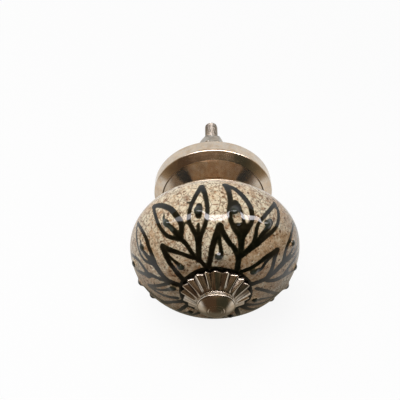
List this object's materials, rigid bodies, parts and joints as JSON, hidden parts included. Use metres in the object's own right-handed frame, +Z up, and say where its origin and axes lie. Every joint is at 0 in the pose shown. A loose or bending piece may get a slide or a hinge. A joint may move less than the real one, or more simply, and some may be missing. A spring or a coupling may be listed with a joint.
{
  "type": "cabinet knob",
  "caption": "Round glazed ceramic cabinet knob with dark painted leaves and raised dots, on a plated metal base with a flower washer, through bolt and nut.",
  "frame": {"origin": "Centre of the base's back face, the plane that lies on the door or drawer front, on the knob's axis.", "axes": "The knob's axis runs along Y: the domed head faces -Y, towards the user, and the bolt points to +Y, into the door. +Z is up and +X is to the user's right."},
  "size_m": [0.042, 0.0703, 0.042],
  "materials": {
    "ceramic": "gloss",
    "base_metal": "polished, turned",
    "washer_metal": "antique plated",
    "bolt_metal": "plated",
    "nut_metal": "plated"
  },
  "bodies": {
    "root": {"ceramic_body": "ceramic", "base": "base_metal", "flower_washer": "washer_metal", "through_bolt": "bolt_metal", "lock_nut": "nut_metal", "mounting_nut": "nut_metal"}
  },
  "joints": []
}
